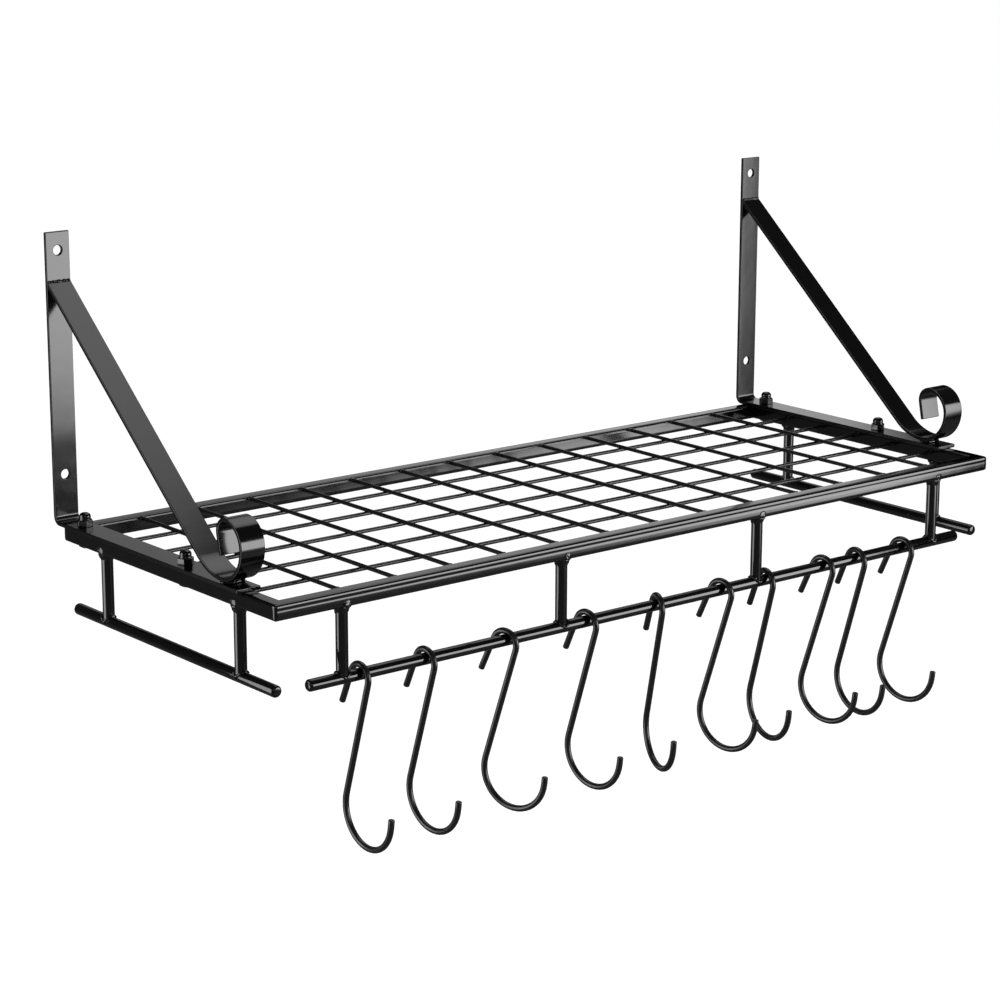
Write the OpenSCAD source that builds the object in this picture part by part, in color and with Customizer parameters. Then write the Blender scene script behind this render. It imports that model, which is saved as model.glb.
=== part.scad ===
// Wall-mounted pot rack: a wire shelf in a square-tube frame, hung from two flat-bar brackets
// with scrolled braces, with three hanging rods below it and loose S-hooks on the front rod.
// The origin lies on the wall, in the middle of the four wall holes. X runs along the wall,
// Y points into the wall (so the shelf reaches out towards -Y) and Z points up.

/* [Shelf frame] */
// Width of the shelf frame along the wall
frame_w = 720; // [560:10:900]
// Depth of the shelf frame away from the wall
frame_d = 280; // [220:10:360]
// Side of the square tube that the frame is made of
tube = 12; // [10:0.5:16]
// Wall thickness of the square tube
tube_wall = 1.2; // [0.8:0.1:2]
// Outer corner radius of the square tube
tube_r = 2; // [1.2:0.1:3]

/* [Shelf wires] */
// Diameter of the shelf wires
wire_d = 3.2; // [2.4:0.1:4]
// How far the top of the cross wires lies below the top of the frame
wire_sink = 0.2; // [0:0.1:1]
// Number of wires that run front to back
cross_wire_count = 13; // [7:1:17]
// Number of wires that run along the wall
long_wire_count = 5; // [3:1:7]

/* [Hanging rods] */
// Diameter of the hanging rods and their posts
rod_d = 9; // [7:0.5:11]
// Distance from the underside of the frame down to the rod axes
rod_drop = 52.5; // [40:0.5:80]
// Radius of the rounded rod ends
rod_end_r = 2.5; // [1:0.5:3]
// How far each end of the front rod stays in from the side of the frame
front_rod_inset = 30; // [20:1:50]
// How far the outer front posts stay in from the side of the frame
front_post_inset = 60; // [55:1:90]
// Number of posts on the front rod
front_posts = 4; // [2:1:5]
// How far each end of a side rod stays in from the front and back of the frame
side_rod_inset = 7.5; // [5:0.5:25]
// How far the side posts stay in from the front and back of the frame
side_post_inset = 52; // [40:1:70]

/* [Brackets] */
// Width of the flat bar
strap_w = 20; // [16:1:26]
// Thickness of the flat bar
strap_t = 3; // [2.5:0.1:4]
// Inner radius of the bend between the wall leg and the foot
bend_r = 4; // [3:0.5:7]
// Height of the top of the wall leg above the top of the frame
leg_h = 222; // [200:1:260]
// How far the front end of the foot stays back from the front of the frame
foot_inset = 40; // [30:1:70]
// Height of the lower wall hole above the top of the frame
low_hole_h = 38; // [30:1:60]
// Distance from the top of the wall leg down to its upper wall hole
top_hole_inset = 14; // [10:1:18]
// Diameter of the wall holes
hole_d = 7.5; // [5:0.5:9]
// Distance from the top of the wall leg down to where the top of the brace meets it
brace_drop = 37; // [27:1:60]

/* [Scrolls] */
// Distance from the front end of the foot back to where the scroll bears on it
scroll_back = 20; // [12:1:30]
// Thickness of the weld between the foot and the scroll
weld_t = 2; // [1:0.5:4]
// Length of that weld along the foot
weld_l = 10; // [6:1:14]
// Outer radius of the bend from the brace into the scroll
sweep_r = 45; // [35:1:55]
// Outer radius of the lower front of the scroll
scroll_low_r = 26.5; // [22:0.5:30]
// Outer radius of the upper front of the scroll
scroll_high_r = 20; // [16:0.5:24]
// Outer radius of the last curl of the scroll
scroll_curl_r = 11.5; // [9:0.5:13]
// Angle through which the last curl turns
scroll_curl_angle = 102; // [90:1:115]
// Length of the straight tip after the last curl
scroll_tip_l = 15; // [8:1:18]

/* [Fasteners] */
// Thread diameter of the screws that hold the brackets to the frame
screw_d = 6; // [5:0.5:6]
// Length of the screws under the head
screw_l = 20; // [19:0.5:21]
// Diameter of the screw head
screw_head_d = 10.5; // [9:0.5:11]
// Height of the screw head
screw_head_h = 1.8; // [1.6:0.1:4]
// Distance across the flats of the socket in the screw head
socket_af = 4; // [3:0.5:5]
// Depth of that socket
socket_depth = 1.2; // [1:0.1:1.3]
// Clearance of the screw holes in the bars and tubes
screw_gap = 0.5; // [0.2:0.1:1]
// Distance across the flats of the cap nuts
nut_af = 11; // [10:0.5:13]
// Height of the hexagon of the cap nuts
nut_hex_h = 4.8; // [4:0.2:6]
// Whole height of the cap nuts
nut_h = 10.5; // [10:0.5:14]
// Diameter of the dome of the cap nuts
nut_dome_d = 9; // [8.5:0.1:9.8]
// Depth of the threaded hole in the cap nuts
nut_hole_depth = 7; // [6.5:0.5:7.5]
// Distance from the back of the frame to the rear screws
rear_screw_inset = 22; // [18:1:30]
// Distance from the front end of the foot back to the front screws
front_screw_back = 80; // [55:1:95]

/* [Hooks] */
// Diameter of the hook wire
hook_d = 4.8; // [3.5:0.1:5.5]
// Gap between a hook and the rod that it hangs on
hook_gap = 0.3; // [0.2:0.1:0.6]
// Radius of the middle of the wire in the top loop
loop_r = 10.2; // [9:0.2:12]
// Angle of the loop from its top to the start of the tail
tail_angle = 65; // [50:1:75]
// Length of the straight tail behind the rod
tail_l = 29; // [18:1:32]
// Lean of the shank away from the loop
shank_lean = 18; // [12:1:22]
// Length of the straight shank
shank_l = 91; // [70:1:110]
// Radius of the middle of the wire in the lower bend
bow_r = 27; // [20:1:30]
// Angle that the lower bend goes on past its lowest point
bow_angle = 82; // [60:1:90]
// Length of the straight tip of the lower bend
tip_l = 6; // [2:1:10]

/* [Hidden] */
$fn = 96;

// Black enamel, with the fasteners a little lighter
enamel = [0.06, 0.06, 0.065];
fastener_black = [0.12, 0.12, 0.125];

// Overrun of every cutting shape past the faces that it cuts
cut = 1;
left = -1;
right = 1;
// Largest step of the bent bars' outlines, in degrees
arc_step = 4;

// Places of the frame, worked out from the wall at Y = 0 and the middle of the wall holes at Z = 0
frame_back = -(strap_t + bend_r);
frame_front = frame_back - frame_d;
frame_mid = frame_back - frame_d / 2;
hole_spacing = leg_h - top_hole_inset - low_hole_h;
frame_top = -(low_hole_h + hole_spacing / 2);
frame_bottom = frame_top - tube;
tube_mid_z = frame_top - tube / 2;
side_x = frame_w / 2 - tube / 2;
front_y = frame_front + tube / 2;
rear_y = frame_back - tube / 2;

// Places of the shelf wires, evenly spaced between the rails
inner_w = frame_w - 2 * tube;
inner_d = frame_d - 2 * tube;
cross_z = frame_top - wire_sink - wire_d / 2;
long_z = cross_z - wire_d;

// Places of the rods and posts
rod_z = frame_bottom - rod_drop;
front_rod_l = frame_w - 2 * front_rod_inset;
side_rod_l = frame_d - 2 * side_rod_inset;
front_post_span = frame_w - 2 * front_post_inset;

// Places of the brackets, measured forwards from the wall
foot_end = strap_t + bend_r + frame_d - foot_inset;
foot_top = frame_top + strap_t;
leg_top = frame_top + leg_h;
bend_out_r = bend_r + strap_t;
scroll_at = foot_end - scroll_back;
scroll_bottom = foot_top + weld_t;
scroll_front = scroll_at + scroll_low_r;
scroll_widest_z = scroll_bottom + scroll_low_r;
scroll_top = scroll_widest_z + scroll_high_r;
curl_at = scroll_front - scroll_high_r;
curl_z = scroll_top - scroll_curl_r;

// The upper face of the brace is a straight line from the wall leg that touches the sweep
sweep_in_r = sweep_r - strap_t;
sweep_z = scroll_bottom + sweep_r;
brace_top = leg_top - brace_drop;
brace_run = scroll_at - strap_t;
brace_rise = brace_top - sweep_z;
brace_reach = norm([brace_run, brace_rise]);
brace_angle = atan2(brace_rise, brace_run) + asin(sweep_in_r / brace_reach);
curl_end = 90 + scroll_curl_angle;

// Places of the screws
rear_screw_y = frame_back - rear_screw_inset;
front_screw_y = -(foot_end - front_screw_back);
screw_hole_d = screw_d + screw_gap;
thread_gap = 0.1;

// The hooks hang from the top of the front rod, with their weight below it
hook_r = hook_d / 2;
hook_z = rod_z + rod_d / 2 + hook_gap + hook_r - loop_r;
// Where each hook hangs, as shares of the front rod's length from its middle
hook_shares = [-0.432, -0.344, -0.233, -0.114, -0.006, 0.095, 0.168, 0.264, 0.322, 0.403];
// How far each hook is turned out of the plane square to the rod
hook_yaws = [0, 3, 16, 6, -19, 10, -9, 8, -3, 6];

// Points of a hook in its own plane, from the middle of its loop: right is towards the front
tail_start = loop_r * [-sin(tail_angle), cos(tail_angle)];
tail_dir = [-cos(tail_angle), -sin(tail_angle)];
shank_start = loop_r * [cos(shank_lean), -sin(shank_lean)];
shank_dir = [-sin(shank_lean), -cos(shank_lean)];
shank_end = shank_start + shank_l * shank_dir;
bow_mid = shank_end + bow_r * [cos(shank_lean), -sin(shank_lean)];
bow_from = 180 - shank_lean;
bow_turn = 90 + shank_lean + bow_angle;
bow_to = bow_from + bow_turn;
tip_start = bow_mid + bow_r * [cos(bow_to), sin(bow_to)];
tip_dir = [-sin(bow_to), cos(bow_to)];
loop_turn = tail_angle + 90 + shank_lean;
// The wire is drawn a little thinner in its bends, which run a little way into the straight wire
bend_thinning = 0.02;
bend_lap = 1;

// Middle of mass of a straight wire and of an arc, each with its length in front
function line_mass(start, dir, l) = [l, start + dir * l / 2];
function arc_mass(mid, r, a, turn) = [
    r * turn * PI / 180,
    mid + r * (2 * sin(turn / 2) / (turn * PI / 180)) * [cos(a + turn / 2), sin(a + turn / 2)]
];
hook_parts = [
    line_mass(tail_start, tail_dir, tail_l),
    arc_mass([0, 0], loop_r, -shank_lean, loop_turn),
    line_mass(shank_start, shank_dir, shank_l),
    arc_mass(bow_mid, bow_r, bow_from, bow_turn),
    line_mass(tip_start, tip_dir, tip_l)
];
function sum_of(list, i = 0) = i >= len(list) ? 0 * list[0] : list[i] + sum_of(list, i + 1);
hook_length = sum_of([for (p = hook_parts) p[0]]);
hook_middle = sum_of([for (p = hook_parts) p[0] * p[1]]) / hook_length;
// Turn that brings the hook's middle of mass under its loop
hang_turn = -atan2(hook_middle[0], -hook_middle[1]);

module rounded_square(side, r) {
    square([side, side - 2 * r], center = true);
    square([side - 2 * r, side], center = true);
    for (sx = [left, right], sy = [left, right])
        translate([sx * (side / 2 - r), sy * (side / 2 - r)])
            circle(r = r);
}

// A piece of tube along X, with its outer face towards -Y and both ends mitred
module mitred_tube(l) {
    intersection() {
        rotate([90, 0, 90])
            linear_extrude(height = l, center = true)
                difference() {
                    rounded_square(tube, tube_r);
                    rounded_square(tube - 2 * tube_wall, tube_r - tube_wall);
                }
        linear_extrude(height = tube + 2 * cut, center = true)
            polygon([
                [-l / 2, -tube / 2],
                [l / 2, -tube / 2],
                [l / 2 - tube, tube / 2],
                [tube - l / 2, tube / 2]
            ]);
    }
}

module rail_front() {
    color(enamel)
        translate([0, front_y, tube_mid_z])
            mitred_tube(frame_w);
}

module rail_rear() {
    color(enamel)
        translate([0, rear_y, tube_mid_z])
            rotate([0, 0, 180])
                mitred_tube(frame_w);
}

module side_rail(side) {
    color(enamel)
        difference() {
            translate([side * side_x, frame_mid, tube_mid_z])
                rotate([0, 0, side * 90])
                    mitred_tube(frame_d);
            screw_holes(side);
        }
}

// The two screw holes of one side, through the tube and the foot of the bracket
module screw_holes(side) {
    for (y = [rear_screw_y, front_screw_y])
        translate([side * side_x, y, frame_bottom - cut])
            cylinder(h = tube + strap_t + 2 * cut, d = screw_hole_d);
}

module cross_wire(i) {
    color(enamel)
        translate([-inner_w / 2 + i * inner_w / (cross_wire_count + 1), frame_mid, cross_z])
            rotate([90, 0, 0])
                cylinder(h = inner_d, d = wire_d, center = true);
}

module long_wire(i) {
    color(enamel)
        translate([0, frame_mid - inner_d / 2 + i * inner_d / (long_wire_count + 1), long_z])
            rotate([0, 90, 0])
                cylinder(h = inner_w, d = wire_d, center = true);
}

// A rod along Z, around its middle, with rounded ends
module round_rod(l) {
    rotate_extrude() {
        translate([0, -l / 2])
            square([rod_d / 2 - rod_end_r, l]);
        translate([0, rod_end_r - l / 2])
            square([rod_d / 2, l - 2 * rod_end_r]);
        for (end = [left, right])
            translate([rod_d / 2 - rod_end_r, end * (l / 2 - rod_end_r)])
                intersection() {
                    circle(r = rod_end_r);
                    translate([0, -rod_end_r])
                        square([rod_end_r, 2 * rod_end_r]);
                }
    }
}

module rod_front() {
    color(enamel)
        translate([0, front_y, rod_z])
            rotate([0, 90, 0])
                round_rod(front_rod_l);
}

module side_rod(side) {
    color(enamel)
        translate([side * side_x, frame_mid, rod_z])
            rotate([90, 0, 0])
                round_rod(side_rod_l);
}

// A post from the underside of the frame to a rod, with its lower end coped to the rod
module post(x, y, rod_turn) {
    color(enamel)
        translate([x, y, rod_z])
            difference() {
                cylinder(h = rod_drop, d = rod_d);
                rotate([90, 0, rod_turn])
                    cylinder(h = rod_d + 2 * cut, d = rod_d, center = true);
            }
}

module front_post(i) {
    post(front_post_span * ((i - 1) / (front_posts - 1) - 1 / 2), front_y, 90);
}

module side_post(side, y) {
    post(side * side_x, y, 0);
}

// Points of an arc, a step of a few degrees apart
function arc_points(mid, r, from, to) = [
    for (i = [0:ceil(abs(to - from) / arc_step)])
        mid + r * [
            cos(from + (to - from) * i / ceil(abs(to - from) / arc_step)),
            sin(from + (to - from) * i / ceil(abs(to - from) / arc_step))
        ]
];

// Outline of the wall leg and foot, seen from the side: right is away from the wall
module strap_outline() {
    bend_mid = [bend_out_r, foot_top + bend_r];
    polygon(concat(
        [[0, leg_top]],
        arc_points(bend_mid, bend_out_r, 180, 270),
        [[foot_end, frame_top], [foot_end, foot_top]],
        arc_points(bend_mid, bend_r, 270, 180),
        [[strap_t, leg_top]]
    ));
}

// Places an outline drawn outwards from the wall as a bar of the strap's width
module flat_bar(side) {
    translate([side * side_x, 0, 0])
        rotate([90, 0, -90])
            linear_extrude(height = strap_w, center = true)
                children();
}

module strap(side) {
    color(enamel)
        difference() {
            flat_bar(side)
                strap_outline();
            screw_holes(side);
            for (z = [-hole_spacing / 2, hole_spacing / 2])
                translate([side * side_x, cut, z])
                    rotate([90, 0, 0])
                        cylinder(h = strap_t + 2 * cut, d = hole_d);
        }
}

// Line of one face of the bent brace, lying in from its under face by the given thickness
function brace_line(t) = concat(
    arc_points([scroll_at, sweep_z], sweep_r - t, 270 - brace_angle, 270),
    arc_points([scroll_at, scroll_widest_z], scroll_low_r - t, 270, 360),
    arc_points([curl_at, scroll_widest_z], scroll_high_r - t, 0, 90),
    arc_points([curl_at, curl_z], scroll_curl_r - t, 90, curl_end),
    [
        [curl_at, curl_z] + (scroll_curl_r - t) * [cos(curl_end), sin(curl_end)]
            + scroll_tip_l * [-sin(curl_end), cos(curl_end)]
    ]
);
function turned_round(list) = [for (i = [1:len(list)]) list[len(list) - i]];

// Outline of the brace and its scroll, seen from the side: right is away from the wall
module brace_outline() {
    polygon(concat(
        [[strap_t, brace_top - strap_t / cos(brace_angle)]],
        brace_line(0),
        turned_round(brace_line(strap_t)),
        [[strap_t, brace_top]]
    ));
    // Weld between the scroll and the foot
    translate([scroll_at - weld_l / 2, foot_top])
        square([weld_l, weld_t + strap_t / 2]);
}

module brace(side) {
    color(enamel)
        flat_bar(side)
            brace_outline();
}

module cap_nut(side, y) {
    nut_flat_r = nut_af / 2 / cos(30);
    dome_r = nut_dome_d / 2;
    color(fastener_black)
        translate([side * side_x, y, foot_top])
            difference() {
                union() {
                    cylinder(h = nut_hex_h, r = nut_flat_r, $fn = 6);
                    cylinder(h = nut_h - dome_r, r = dome_r);
                    translate([0, 0, nut_h - dome_r])
                        sphere(r = dome_r);
                }
                translate([0, 0, -cut])
                    cylinder(h = nut_hole_depth + cut, d = screw_d + thread_gap);
            }
}

module screw(side, y) {
    color(fastener_black)
        translate([side * side_x, y, frame_bottom])
            difference() {
                union() {
                    cylinder(h = screw_l, d = screw_d);
                    translate([0, 0, -screw_head_h])
                        cylinder(h = screw_head_h, d = screw_head_d);
                }
                translate([0, 0, -screw_head_h - cut])
                    cylinder(h = socket_depth + cut, r = socket_af / 2 / cos(30), $fn = 6);
            }
}

// A straight piece of hook wire in the plane of the hook
module straight_wire(start, dir, l) {
    translate([start[0], start[1], 0])
        rotate([0, 0, atan2(dir[1], dir[0])])
            rotate([0, 90, 0])
                cylinder(h = l, r = hook_r);
}

// A bent piece of hook wire in the plane of the hook
module bent_wire(mid, r, from, turn) {
    translate([mid[0], mid[1], 0])
        rotate([0, 0, from - bend_lap])
            rotate_extrude(angle = turn + 2 * bend_lap)
                translate([r, 0])
                    circle(r = hook_r - bend_thinning);
}

// A hook in its own plane, around the middle of its loop
module hook_shape() {
    rotate([0, 0, hang_turn])
        union() {
            straight_wire(tail_start, tail_dir, tail_l);
            bent_wire([0, 0], loop_r, -shank_lean, loop_turn);
            straight_wire(shank_start, shank_dir, shank_l);
            bent_wire(bow_mid, bow_r, bow_from, bow_turn);
            straight_wire(tip_start, tip_dir, tip_l);
        }
}

module hook(i) {
    color(enamel)
        translate([hook_shares[i - 1] * front_rod_l, front_y, hook_z])
            rotate([0, 0, hook_yaws[i - 1] - 90])
                rotate([90, 0, 0])
                    hook_shape();
}

rail_front();
rail_rear();
side_rail(left);  // rail_left
side_rail(right);  // rail_right
cross_wire(1);  // cross_wire_01
cross_wire(2);  // cross_wire_02
cross_wire(3);  // cross_wire_03
cross_wire(4);  // cross_wire_04
cross_wire(5);  // cross_wire_05
cross_wire(6);  // cross_wire_06
cross_wire(7);  // cross_wire_07
cross_wire(8);  // cross_wire_08
cross_wire(9);  // cross_wire_09
cross_wire(10);  // cross_wire_10
cross_wire(11);  // cross_wire_11
cross_wire(12);  // cross_wire_12
cross_wire(13);  // cross_wire_13
long_wire(1);  // long_wire_1
long_wire(2);  // long_wire_2
long_wire(3);  // long_wire_3
long_wire(4);  // long_wire_4
long_wire(5);  // long_wire_5
rod_front();
side_rod(left);  // rod_left
side_rod(right);  // rod_right
front_post(1);  // post_front_1
front_post(2);  // post_front_2
front_post(3);  // post_front_3
front_post(4);  // post_front_4
side_post(left, frame_back - side_post_inset);  // post_left_rear
side_post(left, frame_front + side_post_inset);  // post_left_front
side_post(right, frame_back - side_post_inset);  // post_right_rear
side_post(right, frame_front + side_post_inset);  // post_right_front
strap(left);  // strap_left
strap(right);  // strap_right
brace(left);  // brace_left
brace(right);  // brace_right
cap_nut(left, rear_screw_y);  // cap_nut_left_rear
cap_nut(left, front_screw_y);  // cap_nut_left_front
cap_nut(right, rear_screw_y);  // cap_nut_right_rear
cap_nut(right, front_screw_y);  // cap_nut_right_front
screw(left, rear_screw_y);  // screw_left_rear
screw(left, front_screw_y);  // screw_left_front
screw(right, rear_screw_y);  // screw_right_rear
screw(right, front_screw_y);  // screw_right_front
hook(1);  // hook_01
hook(2);  // hook_02
hook(3);  // hook_03
hook(4);  // hook_04
hook(5);  // hook_05
hook(6);  // hook_06
hook(7);  // hook_07
hook(8);  // hook_08
hook(9);  // hook_09
hook(10);  // hook_10
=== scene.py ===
import math

import bmesh
import bpy
from mathutils import Matrix, Vector, noise


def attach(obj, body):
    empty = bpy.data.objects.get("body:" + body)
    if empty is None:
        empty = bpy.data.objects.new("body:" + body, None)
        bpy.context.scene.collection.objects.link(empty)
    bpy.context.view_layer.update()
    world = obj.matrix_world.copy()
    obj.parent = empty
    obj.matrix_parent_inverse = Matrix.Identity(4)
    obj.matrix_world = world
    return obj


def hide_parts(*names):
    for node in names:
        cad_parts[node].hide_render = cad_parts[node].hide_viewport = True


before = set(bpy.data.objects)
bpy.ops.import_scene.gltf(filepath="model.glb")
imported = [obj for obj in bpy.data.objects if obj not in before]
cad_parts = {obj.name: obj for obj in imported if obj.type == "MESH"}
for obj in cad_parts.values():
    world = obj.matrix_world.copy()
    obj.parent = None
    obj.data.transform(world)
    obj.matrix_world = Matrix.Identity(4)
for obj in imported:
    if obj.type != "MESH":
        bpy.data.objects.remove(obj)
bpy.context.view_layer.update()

mm = 0.001
sameSpot = 0.05                 # places closer together than this, in millimetres, count as one
bothSides = ((-1, "left"), (1, "right"))
print("frame loaded:", len(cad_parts), "nodes")

# Places that several pieces share, in millimetres: the wall is Y 0, X runs along it, Z is up
rack = {
    "side": 354.0,          # middle of each side rail and bracket, left and right of 0
    "width": 720.0,
    "depth": 280.0,
    "frameMid": -147.0,
    "frontY": -281.0,       # middle of the front rail and of the front rod
    "top": -123.0,          # of the square tubes
    "bottom": -135.0,
    "tube": 12.0,
    "rodZ": -187.5,
    "rodD": 9.0,
    "footTop": -120.0,      # of the brackets' feet, which lie on the side rails
}


# Small tools that the pieces share

def clearSelection():
    if bpy.context.mode != "OBJECT":
        bpy.ops.object.mode_set(mode="OBJECT")
    bpy.ops.object.select_all(action="DESELECT")


def onlySelect(piece):
    clearSelection()
    piece.select_set(True)
    bpy.context.view_layer.objects.active = piece


def newPiece(name):
    piece = bpy.context.active_object    # what the last primitive made
    piece.name = name
    piece.data.name = name
    onlySelect(piece)
    return piece


def editMesh(piece):
    onlySelect(piece)
    bpy.ops.object.mode_set(mode="EDIT")
    bpy.ops.mesh.select_mode(type="FACE")


def editAll(piece):
    editMesh(piece)
    bpy.ops.mesh.select_all(action="SELECT")


def chooseFaces(piece, test):
    mesh = bmesh.from_edit_mesh(piece.data)
    for face in mesh.faces:
        face.select_set(test(face))
    mesh.select_flush(False)
    for face in mesh.faces:
        if test(face):
            face.select_set(True)
    bmesh.update_edit_mesh(piece.data)


def chooseEdges(piece, test):
    mesh = bmesh.from_edit_mesh(piece.data)
    for edge in mesh.edges:
        edge.select_set(False)
    for edge in mesh.edges:
        if test(edge):
            edge.select_set(True)
    bmesh.update_edit_mesh(piece.data)


def leaveEdit():
    bpy.ops.object.mode_set(mode="OBJECT")


def settle(piece, place=None):
    # the place goes into the mesh, so the object itself stays at the origin
    onlySelect(piece)
    if place is not None:
        piece.matrix_world = place @ piece.matrix_world
    bpy.ops.object.transform_apply(location=True, rotation=True, scale=True)


def applyAll(piece):
    onlySelect(piece)
    for modifier in list(piece.modifiers):
        bpy.ops.object.modifier_apply(modifier=modifier.name)


def roundEdges(piece, width, segments=3, angle=35.0):
    bevel = piece.modifiers.new("roundEdges", "BEVEL")
    bevel.width = width * mm
    bevel.segments = segments
    bevel.limit_method = "ANGLE"
    bevel.angle_limit = math.radians(angle)
    bevel.harden_normals = False
    applyAll(piece)


def smooth(piece, angle=40.0, flat=False):
    onlySelect(piece)
    bpy.ops.object.shade_smooth_by_angle(angle=math.radians(angle))
    if flat:                             # broad faces stay flat right up to their rounded edges
        weighted = piece.modifiers.new("flatFaces", "WEIGHTED_NORMAL")
        weighted.keep_sharp = True
        weighted.weight = 100
        applyAll(piece)


def outwards(piece):
    editAll(piece)
    bpy.ops.mesh.remove_doubles(threshold=0.01 * mm)
    bpy.ops.mesh.normals_make_consistent(inside=False)
    leaveEdit()


def cutAcross(piece, spot, facing, clear=None):
    # a plane through the whole piece adds a loop, or takes away one side of it and closes the cut
    editAll(piece)
    bpy.ops.mesh.bisect(
        plane_co=Vector(spot) * mm, plane_no=facing, use_fill=clear is not None,
        clear_inner=clear == "inner", clear_outer=clear == "outer")
    leaveEdit()


def drillOut(piece, drill):
    onlySelect(piece)
    cut = piece.modifiers.new("hole", "BOOLEAN")
    cut.object = drill
    cut.operation = "DIFFERENCE"
    cut.solver = "EXACT"
    applyAll(piece)
    bpy.data.objects.remove(drill)


def ease(piece, factor):
    editAll(piece)
    bpy.ops.mesh.vertices_smooth(factor=factor)
    leaveEdit()


def copyPiece(piece, name, place):
    twin = piece.copy()
    twin.data = piece.data.copy()
    twin.name = name
    twin.data.name = name
    bpy.context.scene.collection.objects.link(twin)
    settle(twin, place)
    return twin


def moveTo(x, y, z):
    return Matrix.Translation(Vector((x, y, z)) * mm)


def joinPieces(first, others):
    onlySelect(first)
    for other in others:
        other.select_set(True)
    bpy.context.view_layer.objects.active = first
    bpy.ops.object.join()
    return first


def mount(piece, nodes, material, body="root"):
    # every piece gets its material and rides on a body, and most stand for a node of the frame, which is then
    # hidden
    piece.data.materials.clear()
    piece.data.materials.append(material)
    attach(piece, body)
    if nodes:
        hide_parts(*nodes)


def sweep(name, section, moves, step=7.5):
    # a section starts at the origin, square to Y, and is drawn on through runs and bends in the YZ plane
    upright = (math.radians(90), 0, 0)
    if section["kind"] == "bar":
        bpy.ops.mesh.primitive_plane_add(size=1, rotation=upright)
        piece = newPiece(name)
        piece.scale = (section["width"] * mm, section["thick"] * mm, 1)
    else:
        bpy.ops.mesh.primitive_circle_add(
            vertices=section["sides"], radius=section["d"] / 2 * mm, fill_type="NGON", rotation=upright)
        piece = newPiece(name)
    settle(piece)
    editAll(piece)
    y, z, heading = 0.0, 0.0, 0.0
    for kind, size, turn in moves:
        if kind == "run":
            along = Vector((0, math.cos(heading), math.sin(heading)))
            bpy.ops.mesh.extrude_region_move(TRANSFORM_OT_translate={"value": along * size * mm})
            y += along.y * size
            z += along.z * size
            continue
        side = 1 if turn > 0 else -1         # a bend's size is its radius, and its turn is in degrees
        middle = (y - side * size * math.sin(heading), z + side * size * math.cos(heading))
        bpy.ops.mesh.spin(
            steps=max(2, round(abs(turn) / step)), angle=math.radians(turn),
            center=(0, middle[0] * mm, middle[1] * mm), axis=(-1, 0, 0))
        heading += math.radians(turn)
        y = middle[0] + side * size * math.sin(heading)
        z = middle[1] - side * size * math.cos(heading)
    leaveEdit()
    outwards(piece)
    return piece


def turned(name, profile, sides):
    # a disc is drawn up through rings of given radius and height, around Z
    radius, height = profile[0]
    bpy.ops.mesh.primitive_circle_add(
        vertices=sides, radius=radius * mm, fill_type="NGON", location=(0, 0, height * mm))
    piece = newPiece(name)
    settle(piece)
    editAll(piece)
    for ring, level in profile[1:]:
        bpy.ops.mesh.extrude_region_move(
            TRANSFORM_OT_translate={"value": (0, 0, (level - height) * mm)})
        share = ring / radius
        bpy.ops.transform.resize(
            value=(share, share, 1), center_override=(0, 0, level * mm))
        radius, height = ring, level
    leaveEdit()
    outwards(piece)
    return piece


weldNoise = {"seedStep": (7.31, 3.17, 1.73), "fine": 2.3, "fineShare": 0.5}


def roughen(piece, size, depth, seed):
    # moves each point a little along its normal, as run-together weld metal does
    mesh = bmesh.new()
    mesh.from_mesh(piece.data)
    mesh.normal_update()
    for point in mesh.verts:
        spot = point.co / (size * mm) + Vector([seed * part for part in weldNoise["seedStep"]])
        lift = noise.noise(spot) + weldNoise["fineShare"] * noise.noise(spot * weldNoise["fine"])
        point.co += point.normal * lift * depth * mm
    mesh.to_mesh(piece.data)
    mesh.free()


def makeLump(name, look, seed, place=(0, 0, 0)):
    # a ball is stretched, eased and roughened into a lump of weld metal
    bpy.ops.mesh.primitive_ico_sphere_add(
        subdivisions=look["rings"], radius=1 * mm, location=[part * mm for part in place])
    lump = newPiece(name)
    lump.scale = look["radii"]
    settle(lump)
    ease(lump, look["ease"])
    roughen(lump, *look["rough"], seed)
    smooth(lump, 80)
    return lump


# Materials: one group for each effect that several finishes share

def newGroup(name, inputs, outputs):
    group = bpy.data.node_groups.new(name, "ShaderNodeTree")
    for label, kind, value in inputs:
        made = group.interface.new_socket(label, in_out="INPUT", socket_type=kind)
        if value is not None:
            made.default_value = value
    for label, kind in outputs:
        group.interface.new_socket(label, in_out="OUTPUT", socket_type=kind)
    start = group.nodes.new("NodeGroupInput")
    end = group.nodes.new("NodeGroupOutput")
    return group, start, end


def addNode(tree, kind, **values):
    made = tree.nodes.new(kind)
    for key, value in values.items():
        setattr(made, key, value)
    return made


def setInputs(node, values):
    for label, value in values.items():
        node.inputs[label].default_value = value


def grey(tone, blue=1.0):
    return (tone, tone, tone * blue, 1)


def newMaterial(name):
    material = bpy.data.materials.new(name)
    material.use_nodes = True
    tree = material.node_tree
    paint = next(node for node in tree.nodes if node.type == "BSDF_PRINCIPLED")
    return material, tree, paint


def mathNode(tree, operation, first, second, clamp=False):
    made = addNode(tree, "ShaderNodeMath", operation=operation, use_clamp=clamp)
    for index, value in enumerate((first, second)):
        if isinstance(value, (int, float)):
            made.inputs[index].default_value = value
        else:
            tree.links.new(value, made.inputs[index])
    return made.outputs[0]


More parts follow.
